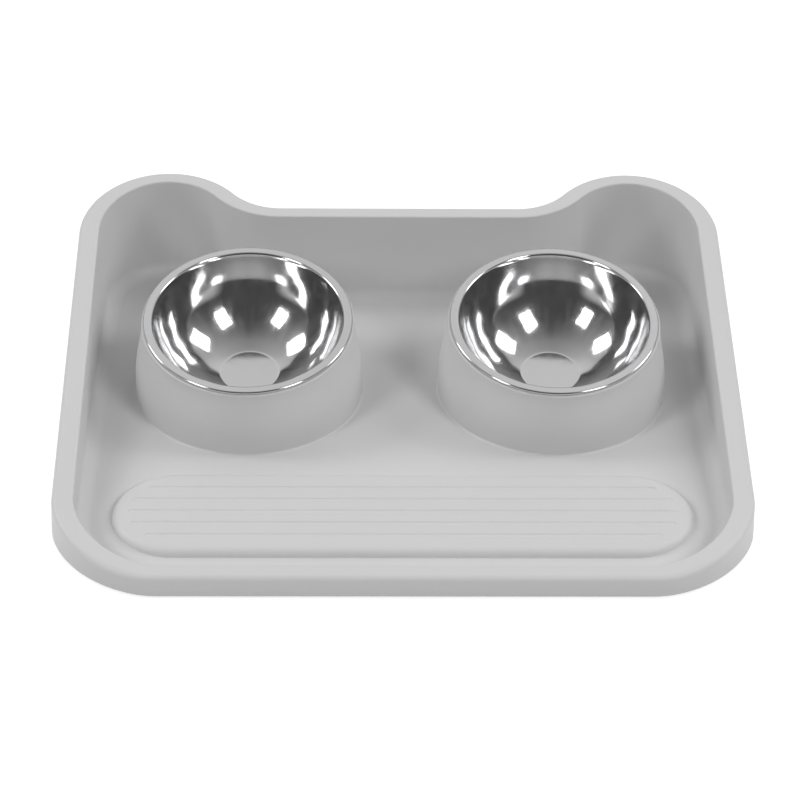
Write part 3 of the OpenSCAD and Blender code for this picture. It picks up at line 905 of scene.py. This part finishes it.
def floor_material(studio):
    """Pale floor that keeps the shadow.

    It is white to the camera, and in the steel's reflections too, but for its far front.
    """
    material = bpy.data.materials.new("pale_floor")
    material.use_nodes = True
    tree = material.node_tree
    tree.nodes.clear()
    link = tree.links.new
    path = tree.nodes.new("ShaderNodeLightPath")
    seen = maths(tree, "MAXIMUM", path.outputs["Is Camera Ray"], maths(
        tree, "MAXIMUM", path.outputs["Is Glossy Ray"], path.outputs["Is Transmission Ray"]))
    place = tree.nodes.new("ShaderNodeTexCoord")
    split = tree.nodes.new("ShaderNodeSeparateXYZ")
    link(place.outputs["Object"], split.inputs[0])
    near = stepped(tree, split.outputs["Y"], start=-0.8, end=-0.5)
    lit = maths(tree, "MAXIMUM", near, path.outputs["Is Camera Ray"])
    plain = add(tree, "ShaderNodeBsdfDiffuse", Color=(studio.floor,) * 3 + (1,))
    shaded = add(tree, "ShaderNodeBsdfDiffuse", Color=(FLOOR_SHADED,) * 3 + (1,))
    glow = tree.nodes.new("ShaderNodeEmission")
    link(ranged(tree, lit, low=0.2, high=0.8), glow.inputs["Strength"])
    white = tree.nodes.new("ShaderNodeAddShader")
    mix = tree.nodes.new("ShaderNodeMixShader")
    end = tree.nodes.new("ShaderNodeOutputMaterial")
    link(shaded.outputs[0], white.inputs[0])
    link(glow.outputs[0], white.inputs[1])
    link(seen, mix.inputs["Fac"])
    link(plain.outputs[0], mix.inputs[1])
    link(white.outputs[0], mix.inputs[2])
    link(mix.outputs[0], end.inputs["Surface"])
    return material


def build_floor(studio):
    mesh = bpy.data.meshes.new("studio_floor")
    bm = bmesh.new()
    bmesh.ops.create_grid(bm, x_segments=1, y_segments=1, size=30)
    bm.to_mesh(mesh)
    bm.free()
    mesh.materials.append(floor_material(studio))
    floor = bpy.data.objects.new("studio_floor", mesh)
    bpy.context.scene.collection.objects.link(floor)


def build_softboxes(studio):
    distance = studio.box_distance
    for azimuth, elevation, width, height, share in SOFTBOXES:
        light = bpy.data.lights.new("softbox", "AREA")
        light.shape = "RECTANGLE"
        light.size = 2 * distance * tan(radians(width) / 2)
        light.size_y = 2 * distance * tan(radians(height) / 2)
        light.energy = share * studio.box_radiance * pi * light.size * light.size_y
        place = AIM + distance * studio_way(azimuth, elevation)
        box = bpy.data.objects.new("softbox", light)
        box.location = place
        box.rotation_euler = (AIM - place).to_track_quat("-Z", "Y").to_euler()
        bpy.context.scene.collection.objects.link(box)


def build_world(studio):
    """The studio round the object: a pale panel above and behind, pale low sides, a dim front."""
    world = bpy.data.worlds.new("studio")
    world.use_nodes = True
    bpy.context.scene.world = world
    tree = world.node_tree
    link = tree.links.new
    place = tree.nodes.new("ShaderNodeTexCoord")
    split = tree.nodes.new("ShaderNodeSeparateXYZ")
    link(place.outputs["Generated"], split.inputs[0])
    x, y, z = split.outputs
    aside = maths(tree, "ABSOLUTE", x)
    across, back, up = [maths(tree, "MULTIPLY", *pair) for pair in zip((aside, y, z), PANEL_WAY)]
    toward_panel = maths(tree, "ADD", maths(tree, "ADD", back, up), across)
    ramp = tree.nodes.new("ShaderNodeValToRGB")
    stops = ramp.color_ramp.elements
    while len(stops) < len(PANEL_FALL):
        stops.new(1.0)
    for stop, (cosine, share) in zip(stops, PANEL_FALL):
        stop.position = cosine
        stop.color = (share, share, share, 1)
    link(toward_panel, ramp.inputs["Fac"])
    panel = maths(tree, "MULTIPLY", ramp.outputs["Color"], studio.panel_light)
    beside = stepped(tree, aside, start=0.45, end=0.8)
    low = stepped(tree, maths(tree, "MULTIPLY", z, -1.0), start=-0.34, end=-0.06)
    sides = maths(tree, "MULTIPLY", maths(tree, "MULTIPLY", beside, low), studio.side_light)
    link(maths(tree, "MAXIMUM", panel, sides), tree.nodes["Background"].inputs["Color"])


def build_camera():
    camera = bpy.data.cameras.new("camera")
    camera.sensor_width = SENSOR_WIDTH
    camera.lens = CAMERA_LENS
    camera.clip_end = 100
    back = CAMERA_RIGHT.cross(CAMERA_UP)
    turned = Matrix((CAMERA_RIGHT, CAMERA_UP, back)).transposed().to_4x4()
    holder = bpy.data.objects.new("camera", camera)
    holder.matrix_world = Matrix.Translation(CAMERA_PLACE) @ turned
    bpy.context.scene.collection.objects.link(holder)
    bpy.context.scene.camera = holder


# Add-on

class FEEDER_OT_tray(Operator):
    """Build the moulded tray with its pedestals and its ribbed pad"""
    bl_idname = "feeder.tray"
    bl_label = "Tray"

    def execute(self, context):
        build_tray(context)
        return {"FINISHED"}


class FEEDER_OT_bowls(Operator):
    """Build the two steel bowls in their seats"""
    bl_idname = "feeder.bowls"
    bl_label = "Bowls"

    def execute(self, context):
        build_bowls(context)
        return {"FINISHED"}


class FEEDER_OT_feet(Operator):
    """Build the four rubber feet under the floor"""
    bl_idname = "feeder.feet"
    bl_label = "Feet"

    def execute(self, context):
        build_feet(context)
        return {"FINISHED"}


class FEEDER_OT_stage(Operator):
    """Set up the pale floor, the softboxes, the studio round them and the camera"""
    bl_idname = "feeder.stage"
    bl_label = "Studio"

    def execute(self, context):
        studio = context.scene.feeder_studio
        build_floor(studio)
        build_softboxes(studio)
        build_world(studio)
        build_camera()
        context.scene.view_settings.view_transform = "Standard"
        return {"FINISHED"}


class FEEDER_PT_panel(Panel):
    """Lists the sizes, colours and building steps"""
    bl_idname = "FEEDER_PT_panel"
    bl_label = "Double pet bowl"
    bl_space_type = "VIEW_3D"
    bl_region_type = "UI"
    bl_category = "Feeder"

    def draw(self, context):
        for title, group, operator in (
                ("Tray", "feeder_tray", "feeder.tray"), ("Bowls", "feeder_bowl", "feeder.bowls"),
                ("Feet", "feeder_foot", "feeder.feet"), ("Finishes", "feeder_finish", None),
                ("Studio", "feeder_studio", "feeder.stage")):
            box = self.layout.box()
            box.label(text=title)
            values = getattr(context.scene, group)
            for name in values.__annotations__:
                box.prop(values, name)
            if operator:
                box.operator(operator)


GROUPS = {
    "feeder_tray": TraySizes,
    "feeder_bowl": BowlSizes,
    "feeder_foot": FootSizes,
    "feeder_finish": Finishes,
    "feeder_studio": Studio,
}
CLASSES = (FEEDER_OT_tray, FEEDER_OT_bowls, FEEDER_OT_feet, FEEDER_OT_stage, FEEDER_PT_panel)


def register():
    for name, group in GROUPS.items():
        bpy.utils.register_class(group)
        setattr(bpy.types.Scene, name, PointerProperty(type=group))
    for cls in CLASSES:
        bpy.utils.register_class(cls)


def unregister():
    for cls in reversed(CLASSES):
        bpy.utils.unregister_class(cls)
    for name, group in GROUPS.items():
        delattr(bpy.types.Scene, name)
        bpy.utils.unregister_class(group)


def main():
    register()
    bpy.ops.feeder.tray()
    bpy.ops.feeder.bowls()
    bpy.ops.feeder.feet()
    bpy.ops.feeder.stage()


if __name__ == "__main__":
    main()
